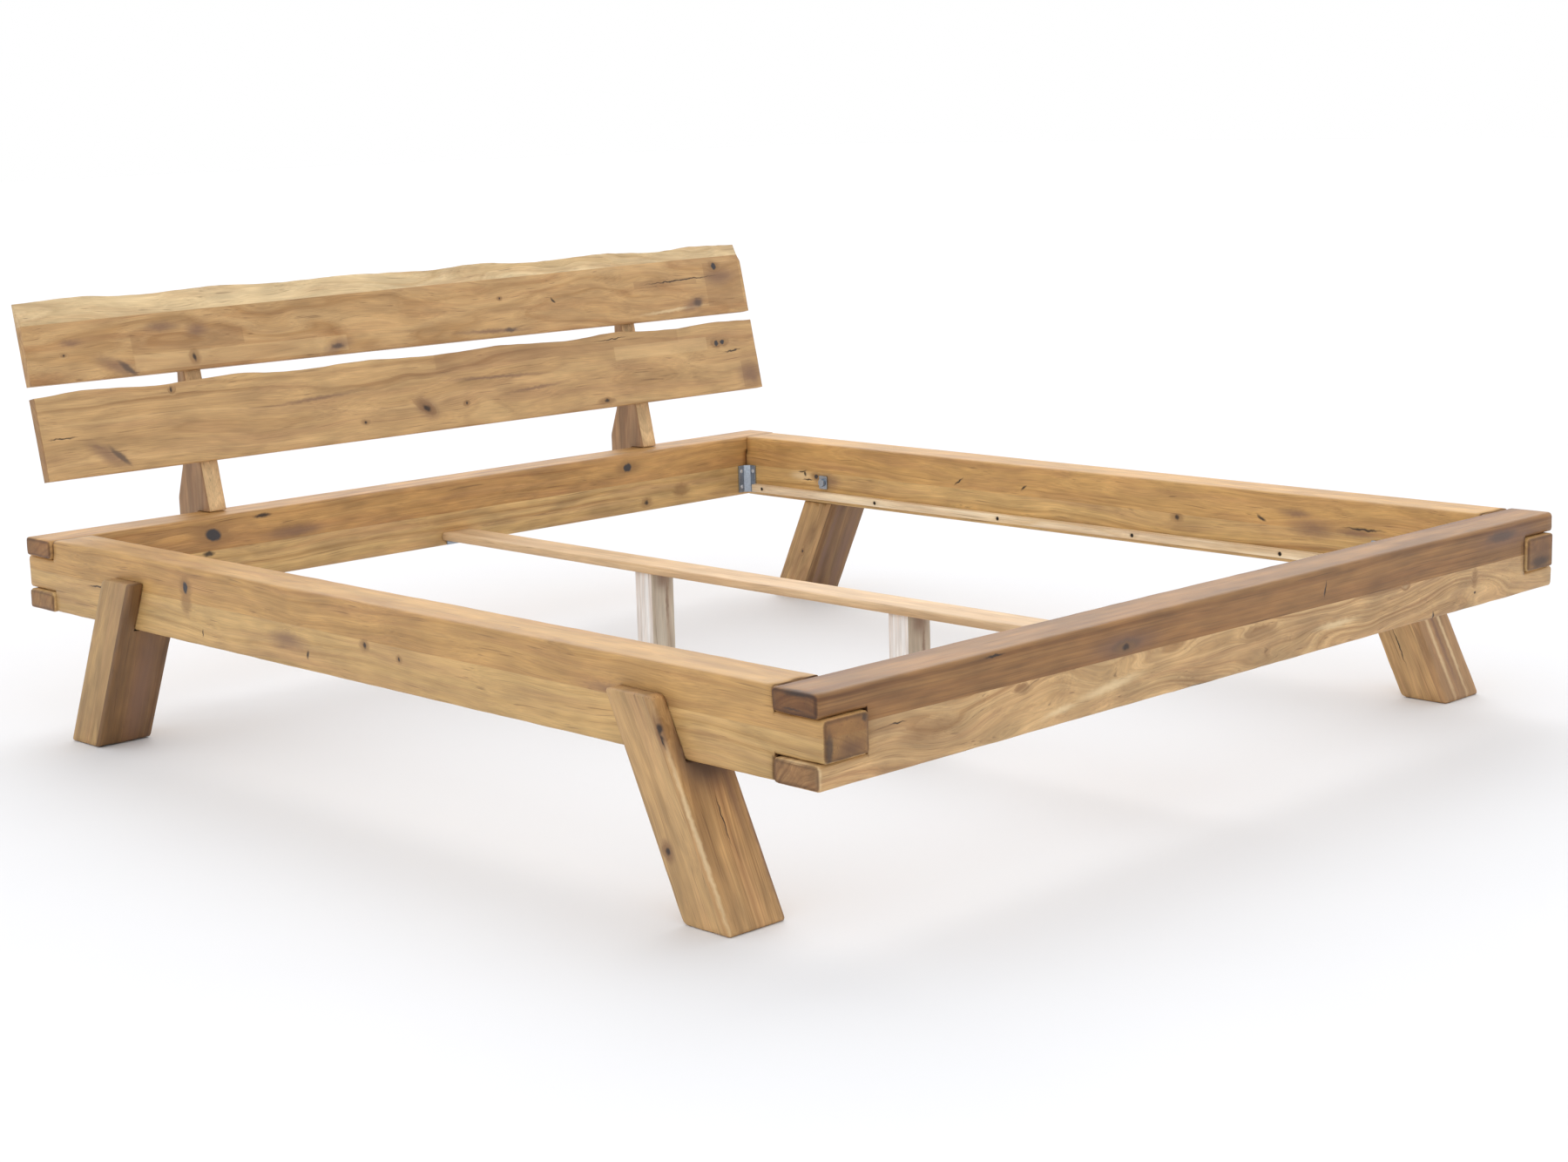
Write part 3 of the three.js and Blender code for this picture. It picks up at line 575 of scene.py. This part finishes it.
right_rail_oak = Oak((0, -860, 420), 7.7, light="d9b274", dark="b08850", wild=1.4, clouds=0.7,
                     seams_or_shade_edges=(SeamOrShadeEdge("Z", 318, above="fbf1e4"),), marks=(
    on_right_inner(834, 306, "sap", (56, 16, 16)),
    on_right_inner(830, 317, "check", (20, 8, 2.5), 8),
    on_right_inner(822, 312, "check", (4, 8, 9), 20),
    on_right_inner(784, 308, "resin", (8, 8, 7)),
    on_right_inner(812, 298, "check", (26, 8, 2)),
    on_right_inner(745, 300, "smoke_and_painted_shade", (60, 10, 30)),
    on_right_inner(-297, 312, "knot", (8, 8, 7)),
    on_right_inner(-514, 331, "check", (16, 8, 5), -30),
    on_right_inner(-640, 322, "smoke_and_painted_shade", (90, 10, 30)),
    on_right_inner(-760, 331, "check", (60, 8, 4)),
    on_right_inner(-740, 322, "smoke_and_painted_shade", (90, 10, 14)),
    on_right_inner(-600, 348, "smoke_and_painted_shade", (60, 12, 14)),
    on_right_inner(324, 335, "check", (22, 8, 3), 35),
    on_right_inner(129, 338, "check", (14, 8, 4), 40),
    Mark("smoke_and_painted_shade", (-1126, -948, 314), (14, 90, 60)),
    Mark("soot_and_painted_shade", (-1126, -948, 300), (14, 50, 14)),
))
head_rail_oak = Oak((0, 990, 210), 4.1, seams_or_shade_edges=(SeamOrShadeEdge("Z", 316, above="f4e6d6"),), marks=(
    on_head_inner(-627, 350, "resin", (24, 18, 15), 12),
    on_head_inner(-640, 312, "check", (20, 10, 7)),
    on_head_inner(-505, 375, "check", (30, 14, 6)),
    on_head_inner(-420, 330, "smoke_and_painted_shade", (120, 14, 20)),
    on_head_inner(510, 356, "resin", (15, 12, 12)),
    on_head_inner(566, 265, "knot", (9, 8, 8)),
    on_head_inner(679, 283, "ring", (34, 12, 22)),
))
foot_rail_oak = Oak((0, -1060, 300), 5.6, light="d6b07c", dark="986d3e", wild=3.0,
                    seams_or_shade_edges=(SeamOrShadeEdge("Z", 324, above="bfab93", rise=-7, calm=0.88),), marks=(
    on_foot_outer(840, 362, "smoke_and_painted_shade", (170, 30, 30)),
    on_foot_outer(815, 366, "soot_and_painted_shade", (70, 20, 14)),
    on_foot_outer(-309, 346, "smoke_and_painted_shade", (130, 24, 28)),
    on_foot_outer(-309, 344, "soot_and_painted_shade", (46, 14, 14)),
    on_foot_outer(-309, 341, "knot", (12, 8, 7)),
    on_foot_outer(-623, 380, "check", (30, 10, 3)),
    on_foot_outer(-760, 296, "ring", (90, 12, 22)),
    on_foot_outer(-838, 318, "check", (26, 6, 1.6)),
    on_foot_outer(-560, 318, "ring", (30, 12, 12)),
    on_foot_outer(-350, 284, "sap", (110, 12, 12), -6),
    on_foot_outer(-473, 268, "sap", (60, 12, 9), -6),
    on_foot_outer(240, 352, "check", (3, 8, 20), 12),
    on_foot_outer(585, 250, "check", (4, 18, 13), -12),
    on_foot_outer(724, 272, "check", (6, 8, 3)),
    on_foot_outer(-119, 246, "check", (34, 8, 3)),
    on_foot_outer(492, 318, "ring", (18, 8, 11)),
    on_foot_outer(492, 318, "sap", (9, 8, 5)),
    on_foot_outer(51, 306, "ring", (70, 10, 20)),
    on_foot_outer(276, 285, "sap", (90, 12, 9)),
    on_foot_outer(723, 300, "ring", (14, 8, 26)),
    Mark("soot_and_painted_shade", (-1001, -1075, 386), (14, 44, 9)),
    Mark("soot_and_painted_shade", (-1001, -1070, 360), (10, 30, 3)),
    Mark("sap", (-1001, -1118, 266), (9, 8, 30)),
    Mark("sap", (-1001, -1075, 284), (12, 50, 5)),
))

side_timber = along_y()
cross_timber = along_x()
side_faces = (inner_x, outer_x)
cross_faces = (inner_y, outer_y)
for node, timber, oak, faces, seed in (
    ("side_rail_left", side_timber, left_rail_oak, side_faces, 1.0),
    ("side_rail_right", side_timber, right_rail_oak, side_faces, 2.0),
    ("head_rail", cross_timber, head_rail_oak, cross_faces, 3.0),
    ("foot_rail", cross_timber, foot_rail_oak, cross_faces, 4.0),
):
    oak.faces = faces
    work_timber(node, timber, oiled_oak(f"oiled_oak_{node}", timber, oak), seed=seed)


# ---------------------------------------------------------------- the legs

# In a leg's own frame its face towards the foot of the bed lies at y -47.5. Its z is 30 at the outer face of
# a left leg and 86 at the inner face of a right one. The foot face is tinted darker, reaching round its
# corner to -36: darker staves with painted shade over them, strongest on the head legs.
LEG_TONE_EDGE = -36
leg_oaks = {
    "foot_left": Oak((0, 40, 90), -4.7, wild=1.3, light="cfa873", dark="9c7548", ends=0.3,
                     seams_or_shade_edges=(SeamOrShadeEdge("Y", LEG_TONE_EDGE, below="fffaf4"),), marks=(
        Mark("knot", (306, -44, 30), (11, 6, 12)),
        Mark("check", (288, -44, 30), (18, 3, 12)),
        Mark("smoke_and_painted_shade", (296, -44, 30), (44, 14, 12)),
        Mark("sap", (130, -46, 28), (260, 7, 6)),
        Mark("knot", (132, 26, 30), (8, 8, 12)),
        Mark("smoke_and_painted_shade", (134, 26, 30), (26, 20, 16)),
        # The foot face is darkest near its top, under the rail: painted shadow.
        Mark("smoke_and_painted_shade", (250, -47, -40), (100, 20, 80)),
        Mark("soot_and_painted_shade", (256, -47, -34), (70, 14, 70)),
        Mark("smoke_and_painted_shade", (220, -47, -64), (150, 16, 16)),
        Mark("smoke_and_painted_shade", (90, -47, -84), (200, 16, 9)),
        Mark("check", (150, -47, -30), (50, 8, 2)),
    )),
    "head_left": Oak((0, 40, 90), -1.3, wild=1.3, light="bc9864", dark="8e693e", ends=0.3,
                     seams_or_shade_edges=(SeamOrShadeEdge("Y", LEG_TONE_EDGE, below="b3a497"),), marks=(
        # Its foot face, which leans over the floor, is darkened along its whole length: painted shade over
        # darker wood.
        Mark("smoke_and_painted_shade", (150, -47, -40), (240, 20, 40)),
    )),
    "foot_right": Oak((0, 40, 90), 1.3, wild=1.3, light="cfa873", dark="9c7548", ends=0.3,
                      seams_or_shade_edges=(SeamOrShadeEdge("Y", LEG_TONE_EDGE, below="e0d9dc"),), marks=(
        Mark("check", (120, 10, 86), (60, 2, 8)),
        Mark("sap", (120, -47, 50), (230, 14, 9)),
        Mark("sap", (120, -47, 8), (230, 14, 8)),
        Mark("smoke_and_painted_shade", (120, -47, 30), (230, 14, 10)),
    )),
    "head_right": Oak((0, 40, 90), 4.7, wild=1.3, light="c39d68", dark="906a41", ends=0.3,
                      seams_or_shade_edges=(SeamOrShadeEdge("Y", LEG_TONE_EDGE, below="bdb2a8"),), marks=(
        Mark("knot", (130, 4, 86), (5, 5, 8)),
        # Its foot face is darkened along its whole length: painted shade over darker wood.
        Mark("smoke_and_painted_shade", (150, -47, 66), (260, 16, 13)),
        Mark("smoke_and_painted_shade", (150, -47, 0), (260, 16, 26)),
    )),
}
for place, oak in leg_oaks.items():
    end, side = place.split("_")
    leg = along_leg(1 if side == "right" else -1, 1 if end == "head" else -1)
    work_timber(f"leg_{place}", leg, oiled_oak(f"oiled_oak_leg_{place}", leg, oak),
                CELL_CROSS, CELL_CROSS, seed=oak.seed)


# ---------------------------------------------------------------- the headboard


def on_plank(x, up, kind, size, slant=0.0):
    return Mark(kind, (x, up, 0), size, slant)


upper_oak = Oak((0, 395, -120), 17.1, light="ecd1a2", dark="c09c68", wild=1.7, clouds=0.7, ends=0.25,
                seams_or_shade_edges=(SeamOrShadeEdge("Y", 436, below="e2cfb9", rise=12),), slant_axis=2, marks=(
    on_plank(917, 424, "resin", (9, 10, 20)),
    on_plank(800, 397, "check", (150, 2.5, 10), 2),
    on_plank(930, 396, "smoke_and_painted_shade", (80, 30, 16)),
    on_plank(750, 394, "brown stave", (102, 9, 10)),
    on_plank(940, 380, "brown stave", (60, 54, 10)),
    on_plank(831, 336, "smoke_and_painted_shade", (60, 22, 16), 20),
    on_plank(845, 338, "soot_and_painted_shade", (20, 14, 10)),
    on_plank(760, 326, "sap", (150, 6, 10), 3),
    on_plank(-760, 324, "smoke_and_painted_shade", (80, 24, 16), -25),
    on_plank(-742, 322, "soot_and_painted_shade", (34, 10, 16), -40),
    on_plank(-224, 323, "smoke_and_painted_shade", (60, 20, 16), 15),
    on_plank(-224, 323, "soot_and_painted_shade", (22, 8, 16)),
    on_plank(200, 320, "smoke_and_painted_shade", (150, 8, 16), -2),
    on_plank(254, 318, "soot_and_painted_shade", (24, 8, 16)),
    on_plank(-582, 331, "knot", (6, 13, 10)),
    on_plank(-650, 400, "smoke_and_painted_shade", (60, 16, 16)),
    on_plank(-566, 388, "smoke_and_painted_shade", (40, 22, 16)),
    on_plank(-590, 368, "brown stave", (135, 18, 10)),
    on_plank(-460, 329, "pale stave", (265, 17, 10)),
    on_plank(-860, 384, "smoke_and_painted_shade", (40, 12, 16)),
    on_plank(238, 393, "knot", (4, 4, 8)),
    on_plank(394, 377, "check", (12, 4, 8), -50),
    on_plank(-880, 359, "knot", (4, 4, 8)),
    on_plank(-900, 446, "sap", (70, 5, 14), 10),
    on_plank(-600, 452, "sap", (60, 5, 14), 20),
    on_plank(-520, 447, "sap", (50, 4, 14), 14),
    on_plank(-330, 448, "sap", (80, 6, 14), 6),
    on_plank(-106, 452, "sap", (60, 5, 14), 12),
    on_plank(300, 450, "sap", (110, 7, 14), 3),
    on_plank(430, 456, "sap", (60, 5, 14)),
    on_plank(586, 464, "sap", (60, 4, 14), -6),
))
lower_oak = Oak((0, 202, -120), 13.2, light="d5ae78", dark="a87f50", wild=1.2, clouds=0.7, ends=0.8,
                slant_axis=2, marks=(
    on_plank(880, 233, "resin", (8, 8, 16)),
    on_plank(899, 235, "resin", (9, 8, 16)),
    on_plank(930, 212, "check", (40, 3, 8), 4),
    on_plank(975, 150, "smoke_and_painted_shade", (60, 44, 18)),
    on_plank(980, 150, "brown stave", (30, 34, 12)),
    on_plank(984, 138, "smoke_and_painted_shade", (34, 26, 18)),
    on_plank(-19, 165, "knot", (15, 9, 12), -35),
    on_plank(-19, 165, "smoke_and_painted_shade", (50, 30, 12), -35),
    on_plank(-188, 150, "knot", (5, 5, 9)),
    on_plank(93, 164, "knot", (5, 5, 9)),
    on_plank(-820, 150, "smoke_and_painted_shade", (74, 26, 16), -30),
    on_plank(-795, 145, "soot_and_painted_shade", (40, 9, 16), -45),
    on_plank(-840, 168, "smoke_and_painted_shade", (40, 10, 16), -15),
    on_plank(-651, 268, "knot", (4, 7, 9)),
    on_plank(502, 128, "knot", (11, 6, 10)),
    on_plank(546, 272, "check", (70, 2, 8), 2),
    on_plank(392, 266, "brown stave", (369, 20, 8)),
    on_plank(700, 236, "pale stave", (150, 16, 8)),
    on_plank(300, 180, "smoke_and_painted_shade", (120, 6, 12), 3),
    on_plank(-916, 194, "check", (40, 2.4, 8)),
    on_plank(-300, 215, "smoke_and_painted_shade", (160, 7, 12), 3),
    on_plank(200, 215, "smoke_and_painted_shade", (200, 6, 12), -2),
))


EDGE_REACH = 30 * MM  # how far down a plank its axe-cut edge is felt
LONG_WAVES = 9  # in each metre of the edge
LONG_WAVE_DEPTH = 2.6 * MM
SHORT_WAVES = 31
SHORT_WAVE_DEPTH = 1.0 * MM
SCOOP_DEPTH = 1.6 * MM  # of the hollows along the bevel
SCOOPS_ALONG = 16  # in each metre of the bevel
SCOOPS_ACROSS = 22
SCOOP_BACK = 18 * MM  # how far behind the front face they reach


def hewn_edge(start, bevelled):
    """The shape of a plank's upper edge: an axe-cut wave, and hollows along the bevel if it has one."""
    top = start + PLANK_WIDTH
    reach = UPPER_BEVEL if bevelled else EDGE_REACH

    def shape(place):
        share = max(0.0, min(1.0, (place.y - (top - reach)) / reach))
        slow = noise.noise(Vector((place.x * LONG_WAVES + start * 40, 0.3, 1.7)))
        fine = noise.noise(Vector((place.x * SHORT_WAVES + start * 90, 2.1, 0.4)))
        place.y -= share * (LONG_WAVE_DEPTH * (1 + slow) + SHORT_WAVE_DEPTH * (1 + fine))
        if bevelled and place.z > -SCOOP_BACK:
            scoop = noise.noise(Vector((place.x * SCOOPS_ALONG, place.y * SCOOPS_ACROSS, 5.2)))
            place.z -= math.sin(math.pi * share) * SCOOP_DEPTH * (1 + scoop)
        return place

    return shape


PLANK_CELL_LONG = 12 * MM
PLANK_CELL_CROSS = 9 * MM
PLANK_WEAR = 0.5 * MM
UPRIGHT_WEAR = 0.6 * MM
CENTRE_RAIL_WEAR = 0.4 * MM
LEDGE_WEAR = 0.3 * MM
LEDGE_CELL_CROSS = 6 * MM
plank_timber = along_plank()
for place, oak in (("lower", lower_oak), ("upper", upper_oak)):
    start = PLANK_STARTS[place]
    material = oiled_oak(f"oiled_oak_{place}_plank", plank_timber, oak)
    work_timber(f"headboard_plank_{place}", plank_timber, material, PLANK_CELL_LONG,
                PLANK_CELL_CROSS, PLANK_WEAR, hewn_edge(start, place == "upper"), seed=start * 50)


def work_upright(node, oak, slot):
    """Works a timber that stands upright on its own middle line."""
    low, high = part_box(node)
    timber = along_z((low.x + high.x) / 2, (low.y + high.y) / 2)
    work_timber(node, timber, oiled_oak(f"{slot}_{node}", timber, oak), CELL_CROSS, CELL_CROSS,
                UPRIGHT_WEAR, seed=oak.seed)


# Each post is tinted darker on its part towards -X, where the planks shade it: painted shade.
for side, seed in (("left", -5.6), ("right", 8.3)):
    work_upright(f"headboard_post_{side}", Oak(
        (0, 60, 30), seed, light="f0cc98", dark="b08c60",
        seams_or_shade_edges=(SeamOrShadeEdge("Z", 18, above="bfb4b0"),)), "oiled_oak_beam")


# ---------------------------------------------------------------- supports for the slatted base

centre_oak = Oak((0, 10, 150), 3.9, light="e3c298", dark="c49c6c", wild=0.6, figure=0.8, clouds=0.5)
work_timber("centre_rail", side_timber, oiled_oak("oiled_oak_centre_rail", side_timber, centre_oak),
            wear_depth=CENTRE_RAIL_WEAR)
for side, seed in (("left", 6.1), ("right", 6.4)):
    ledge_oak = Oak((0, 20, 60), seed, light="fde8c6", dark="e2c08e", wild=0.6, clouds=0.3)
    material = oiled_oak(f"oiled_oak_ledge_{side}", side_timber, ledge_oak)
    work_timber(f"slat_ledge_{side}", side_timber, material,
                cross_cell=LEDGE_CELL_CROSS, wear_depth=LEDGE_WEAR)
for end, seed in (("foot", -0.4), ("head", 0.4)):
    # Each foot is tinted darker on its face towards the foot end, with a dark patch just under the centre
    # rail: painted shade. A thin dark streak runs down that face.
    work_upright(f"centre_foot_{end}", Oak(
        (0, 70, 30), seed, light="fffdfb", dark="e6dacf", wild=0.6, clouds=0.4,
        seams_or_shade_edges=(SeamOrShadeEdge("Y", -24, below="c9bfae"),),
        marks=(Mark("smoke_and_painted_shade", (245, -28, 4), (40, 9, 30)), Mark("smoke_and_painted_shade", (200, -28, -8), (90, 8, 5)))),
        "raw_pale_oak")


# ---------------------------------------------------------------- steel fittings

zinc = zinc_plated_steel()
# A ledge's screws lie deep in their seats and are drawn dark grey: painted shade.
painted_shade_zinc = zinc_plated_steel("zinc_plated_steel_painted_shade", "2b2725", "4a4440", 0.5, 0.75)
# The brackets' screws are drawn near white, brighter than their leaves: painted highlight of their domed
# heads.
painted_highlight_zinc = zinc_plated_steel("zinc_plated_steel_painted_highlight", "c9ced4", "eef1f4", 0.3, 0.45)
STEEL_EDGE = 0.35 * MM  # the eased edge of sheet, washers and heads
STEEL_WORDS = ("screw", "bolt", "bracket", "hanger")
for name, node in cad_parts.items():
    if any(word in name for word in STEEL_WORDS):
        node.data.materials.clear()
        node.data.materials.append(painted_shade_zinc if "ledge" in name else zinc)
        weld = node.modifiers.new("weld", "WELD")
        weld.merge_threshold = SAME_PLACE
        ease = node.modifiers.new("ease", "BEVEL")
        ease.width = STEEL_EDGE
        ease.segments = 2
        ease.limit_method = "ANGLE"

SCREW_RADIUS = 4.6 * MM
SCREW_RISE = 2.0 * MM  # height of a pan head's crown over the leaf
SCREW_RIM = 0.05 * MM  # height of its rim over the leaf
CROWN_ROUND = 0.9  # 0 is a flat crown, and 1 rounds it right down to the leaf
SHANK_RADIUS = 2.1 * MM
SHANK_LENGTH = 7 * MM
CROSS_REACH = 2.9 * MM
CROSS_WIDTH = 0.65 * MM
CROSS_DEPTH = 1.1 * MM
SCREW_SPOKES = 32
SCREW_LOOPS = 9
BRACKET_SCREW_INSET = 22 * MM
BRACKET_SCREW_HEIGHTS = [266 * MM, 304 * MM]
LEAF = 3 * MM


def screw_profile():
    """From the crown out over the head's rim, and down the shank to its tip: radius and height."""
    crown = [
        (SCREW_RADIUS * i / SCREW_LOOPS, SCREW_RISE * math.sqrt(1 - CROWN_ROUND * (i / SCREW_LOOPS) ** 2))
        for i in range(1, SCREW_LOOPS + 1)
    ]
    under_head = [(SCREW_RADIUS, SCREW_RIM), (SHANK_RADIUS, SCREW_RIM)]
    return crown + under_head + [(SHANK_RADIUS, -SHANK_LENGTH)]


def add_screw(mesh, place, outward):
    """A pan-head screw with a cross recess, standing on a face at the place given."""
    turn = Vector((0, 0, 1)).rotation_difference(outward)

    def point(radius, angle, height):
        across, along = radius * math.cos(angle), radius * math.sin(angle)
        in_cross = radius < CROSS_REACH and min(abs(across), abs(along)) < CROSS_WIDTH
        sunk = CROSS_DEPTH * (1 - radius / CROSS_REACH) if in_cross and height > 0 else 0
        return mesh.verts.new(place + turn @ Vector((across, along, height - sunk)))

    loops = [
        [point(radius, math.tau * i / SCREW_SPOKES, height) for i in range(SCREW_SPOKES)]
        for radius, height in screw_profile()
    ]
    crown, tip = point(0, 0, SCREW_RISE), point(0, 0, -SHANK_LENGTH)
    for i in range(SCREW_SPOKES):
        j = (i + 1) % SCREW_SPOKES
        mesh.faces.new((crown, loops[0][i], loops[0][j]))
        mesh.faces.new((tip, loops[-1][j], loops[-1][i]))
        for near, far in zip(loops, loops[1:]):
            mesh.faces.new((near[i], far[i], far[j], near[j]))


def make_bracket_screws(end, side):
    """Four screws that hold one corner bracket, two in each leaf."""
    end_sign, side_sign = (1 if end == "head" else -1), (1 if side == "right" else -1)
    mesh = bmesh.new()
    for height in BRACKET_SCREW_HEIGHTS:
        for from_side, from_end, outward in (
            (LEAF, BRACKET_SCREW_INSET, Vector((-side_sign, 0, 0))),
            (BRACKET_SCREW_INSET, LEAF, Vector((0, -end_sign, 0))),
        ):
            x = side_sign * (inner_x - from_side)
            y = middle_y + end_sign * (inner_y - from_end)
            add_screw(mesh, Vector((x, y, height)), outward)
    piece = make_piece(f"bracket_screws_{end}_{side}", mesh, painted_highlight_zinc, SCREW_CREASE)


for end in ("foot", "head"):
    for side in ("left", "right"):
        make_bracket_screws(end, side)


# ---------------------------------------------------------------- floor, light and camera


FLOOR_SIZE = 80


def pale_floor():
    """A matt painted studio floor."""
    material, tree, shader = new_material("matt_painted_floor")
    place = add(tree, "ShaderNodeTexCoord")
    clouds = add(tree, "ShaderNodeTexNoise", {"Vector": place.outputs["Object"], "Scale": 2.0})
    paint = add(tree, "ShaderNodeMixRGB", {
        "Fac": clouds, "Color1": colour("e9eaed"), "Color2": colour("e6e7ea")})
    tree.links.new(paint.outputs[0], shader.inputs["Base Color"])
    shader.inputs["Roughness"].default_value = 0.9
    bpy.ops.mesh.primitive_plane_add(size=FLOOR_SIZE)
    floor = bpy.context.object
    floor.name = "studio_floor"
    floor.data.materials.append(material)


def studio_light():
    world = bpy.data.worlds.new("studio")
    bpy.context.scene.world = world
    world.use_nodes = True
    background = world.node_tree.nodes["Background"]
    background.inputs["Color"].default_value = colour("ffffff")
    background.inputs["Strength"].default_value = 1.0
    for name, turn, strength, angle in (
        ("soft_top", (-48, 0, -44), 1.1, 50),
        ("soft_front", (50, 0, -70), 0.15, 60),
    ):
        sun = bpy.data.lights.new(name, "SUN")
        sun.energy = strength
        sun.angle = math.radians(angle)
        lamp = bpy.data.objects.new(name, sun)
        lamp.rotation_euler = [math.radians(v) for v in turn]
        bpy.context.scene.collection.objects.link(lamp)


CAMERA_PLACE = Vector((-3.5503, -3.7302, 1.2223))
CAMERA_YAW = math.radians(-44.039)
CAMERA_PITCH = math.radians(10.475)
CAMERA_ROLL = math.radians(-1.600)
CAMERA_SENSOR = 36.0  # millimetres
CAMERA_LENS = 60.8  # millimetres


def make_camera():
    lens = bpy.data.cameras.new("camera")
    lens.sensor_width = CAMERA_SENSOR
    lens.lens = CAMERA_LENS
    lens.clip_end = 200
    forward = Vector((
        -math.sin(CAMERA_YAW) * math.cos(CAMERA_PITCH),
        math.cos(CAMERA_YAW) * math.cos(CAMERA_PITCH),
        -math.sin(CAMERA_PITCH),
    ))
    level = Vector((math.cos(CAMERA_YAW), math.sin(CAMERA_YAW), 0))
    upward = level.cross(forward)
    right = math.cos(CAMERA_ROLL) * level + math.sin(CAMERA_ROLL) * upward
    up = -math.sin(CAMERA_ROLL) * level + math.cos(CAMERA_ROLL) * upward
    camera = bpy.data.objects.new("camera", lens)
    turn = Matrix((right, up, -forward)).transposed().to_4x4()
    camera.matrix_world = Matrix.Translation(CAMERA_PLACE) @ turn
    bpy.context.scene.collection.objects.link(camera)
    bpy.context.scene.camera = camera


pale_floor()
studio_light()
make_camera()
bpy.context.scene.view_settings.view_transform = "Standard"
